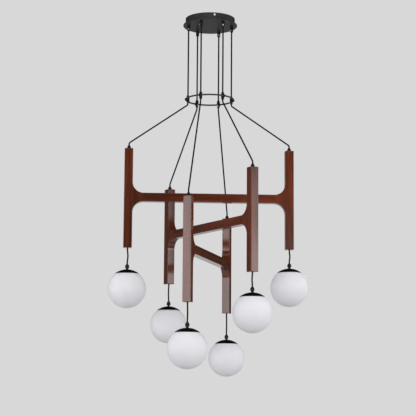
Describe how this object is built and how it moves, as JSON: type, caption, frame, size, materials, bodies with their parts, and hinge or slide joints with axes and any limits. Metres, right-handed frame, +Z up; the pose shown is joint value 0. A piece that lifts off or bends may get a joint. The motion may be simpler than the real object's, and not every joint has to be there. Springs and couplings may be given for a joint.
{
  "type": "multi-arm pendant light",
  "caption": "Pendant light with opal globes on cords below staggered wooden H frames, hung through a spreader ring from a round black canopy.",
  "frame": {"origin": "centre of the ceiling bracket's top face, on the canopy's axis at the ceiling", "axes": "+Z up out of the ceiling plane; +X to the right and +Y away from the viewer in the picture; frames are numbered from the top down, and a frame has its right end towards +X"},
  "size_m": [0.789, 0.7714, 1.43],
  "materials": {
    "canopy_black": "satin black powder coat",
    "steel": "zinc-plated steel",
    "nickel": "bright nickel plate",
    "terminal_plastic": "ivory nylon",
    "cord": "black braided textile over a round cable",
    "grip_black": "semi-gloss black",
    "ring_paint": "satin grey-black",
    "walnut": "red-brown walnut stain under satin lacquer",
    "cap_black": "semi-gloss black",
    "opal_glass": "satin-etched opal white glass",
    "porcelain": "unglazed white porcelain",
    "lamp_glass": "clear capsule over a pale core"
  },
  "bodies": {
    "ceiling_mount": {"ceiling_bracket": "steel", "canopy_drum": "canopy_black", "canopy_plate": "canopy_black", "nickel_screws": "nickel", "terminal_block": "terminal_plastic", "canopy_cord_grips": "grip_black", "upper_cords": "cord", "spreader_ring": "ring_paint", "ring_grips": "grip_black"},
    "frame_1": {"frame_1_left_post": "walnut", "frame_1_right_post": "walnut", "frame_1_crossbar": "walnut", "frame_1_post_grips": "grip_black", "frame_1_cords": "cord"},
    "lamp_1_left": {"drop_cord_1_left": "cord", "lamp_cap_1_left": "cap_black", "cap_grip_1_left": "cap_black", "lampholder_1_left": "porcelain", "capsule_lamp_1_left": "lamp_glass"},
    "globe_1_left": {"globe_1_left": "opal_glass"},
    "lamp_1_right": {"drop_cord_1_right": "cord", "lamp_cap_1_right": "cap_black", "cap_grip_1_right": "cap_black", "lampholder_1_right": "porcelain", "capsule_lamp_1_right": "lamp_glass"},
    "globe_1_right": {"globe_1_right": "opal_glass"},
    "frame_2": {"frame_2_left_post": "walnut", "frame_2_right_post": "walnut", "frame_2_crossbar": "walnut", "frame_2_post_grips": "grip_black", "frame_2_cords": "cord"},
    "lamp_2_left": {"drop_cord_2_left": "cord", "lamp_cap_2_left": "cap_black", "cap_grip_2_left": "cap_black", "lampholder_2_left": "porcelain", "capsule_lamp_2_left": "lamp_glass"},
    "globe_2_left": {"globe_2_left": "opal_glass"},
    "lamp_2_right": {"drop_cord_2_right": "cord", "lamp_cap_2_right": "cap_black", "cap_grip_2_right": "cap_black", "lampholder_2_right": "porcelain", "capsule_lamp_2_right": "lamp_glass"},
    "globe_2_right": {"globe_2_right": "opal_glass"},
    "frame_3": {"frame_3_left_post": "walnut", "frame_3_right_post": "walnut", "frame_3_crossbar": "walnut", "frame_3_post_grips": "grip_black", "frame_3_cords": "cord"},
    "lamp_3_left": {"drop_cord_3_left": "cord", "lamp_cap_3_left": "cap_black", "cap_grip_3_left": "cap_black", "lampholder_3_left": "porcelain", "capsule_lamp_3_left": "lamp_glass"},
    "globe_3_left": {"globe_3_left": "opal_glass"},
    "lamp_3_right": {"drop_cord_3_right": "cord", "lamp_cap_3_right": "cap_black", "cap_grip_3_right": "cap_black", "lampholder_3_right": "porcelain", "capsule_lamp_3_right": "lamp_glass"},
    "globe_3_right": {"globe_3_right": "opal_glass"}
  },
  "joints": [
    {"name": "frame_1_swing", "type": "hinge", "parent": "ceiling_mount", "child": "frame_1", "pos_m": [0, 0, -0.347], "axis": [0.9945, 0.1045, 0], "range_deg": [-6, 6]},
    {"name": "lamp_1_left_swing", "type": "hinge", "parent": "frame_1", "child": "lamp_1_left", "pos_m": [-0.3195, -0.01786, -0.933], "axis": [-0.0558, 0.9984, 0], "range_deg": [-15, 15]},
    {"name": "globe_1_left_unscrew", "type": "hinge", "parent": "lamp_1_left", "child": "globe_1_left", "pos_m": [-0.3195, -0.01786, -1.09803], "axis": [0, 0, -1], "range_deg": [0, 540]},
    {"name": "lamp_1_right_swing", "type": "hinge", "parent": "frame_1", "child": "lamp_1_right", "pos_m": [0.3195, 0.01786, -0.933], "axis": [-0.0558, 0.9984, 0], "range_deg": [-15, 15]},
    {"name": "globe_1_right_unscrew", "type": "hinge", "parent": "lamp_1_right", "child": "globe_1_right", "pos_m": [0.3195, 0.01786, -1.08698], "axis": [0, 0, -1], "range_deg": [0, 540]},
    {"name": "frame_2_swing", "type": "hinge", "parent": "ceiling_mount", "child": "frame_2", "pos_m": [0, 0, -0.347], "axis": [0.5878, -0.809, 0], "range_deg": [-6, 6]},
    {"name": "lamp_2_left_swing", "type": "hinge", "parent": "frame_2", "child": "lamp_2_left", "pos_m": [-0.16385, 0.27487, -1.05], "axis": [0.859, 0.512, 0], "range_deg": [-15, 15]},
    {"name": "globe_2_left_unscrew", "type": "hinge", "parent": "lamp_2_left", "child": "globe_2_left", "pos_m": [-0.16385, 0.27487, -1.22097], "axis": [0, 0, -1], "range_deg": [0, 540]},
    {"name": "lamp_2_right_swing", "type": "hinge", "parent": "frame_2", "child": "lamp_2_right", "pos_m": [0.16385, -0.27487, -1.05], "axis": [0.859, 0.512, 0], "range_deg": [-15, 15]},
    {"name": "globe_2_right_unscrew", "type": "hinge", "parent": "lamp_2_right", "child": "globe_2_right", "pos_m": [0.16385, -0.27487, -1.20596], "axis": [0, 0, -1], "range_deg": [0, 540]},
    {"name": "frame_3_swing", "type": "hinge", "parent": "ceiling_mount", "child": "frame_3", "pos_m": [0, 0, -0.347], "axis": [0.4067, 0.9135, 0], "range_deg": [-6, 6]},
    {"name": "lamp_3_left_swing", "type": "hinge", "parent": "frame_3", "child": "lamp_3_left", "pos_m": [-0.07633, -0.31076, -1.167], "axis": [-0.9711, 0.2385, 0], "range_deg": [-15, 15]},
    {"name": "globe_3_left_unscrew", "type": "hinge", "parent": "lamp_3_left", "child": "globe_3_left", "pos_m": [-0.07633, -0.31076, -1.34094], "axis": [0, 0, -1], "range_deg": [0, 540]},
    {"name": "lamp_3_right_swing", "type": "hinge", "parent": "frame_3", "child": "lamp_3_right", "pos_m": [0.07633, 0.31076, -1.167], "axis": [-0.9711, 0.2385, 0], "range_deg": [-15, 15]},
    {"name": "globe_3_right_unscrew", "type": "hinge", "parent": "lamp_3_right", "child": "globe_3_right", "pos_m": [0.07633, 0.31076, -1.35496], "axis": [0, 0, -1], "range_deg": [0, 540]}
  ]
}
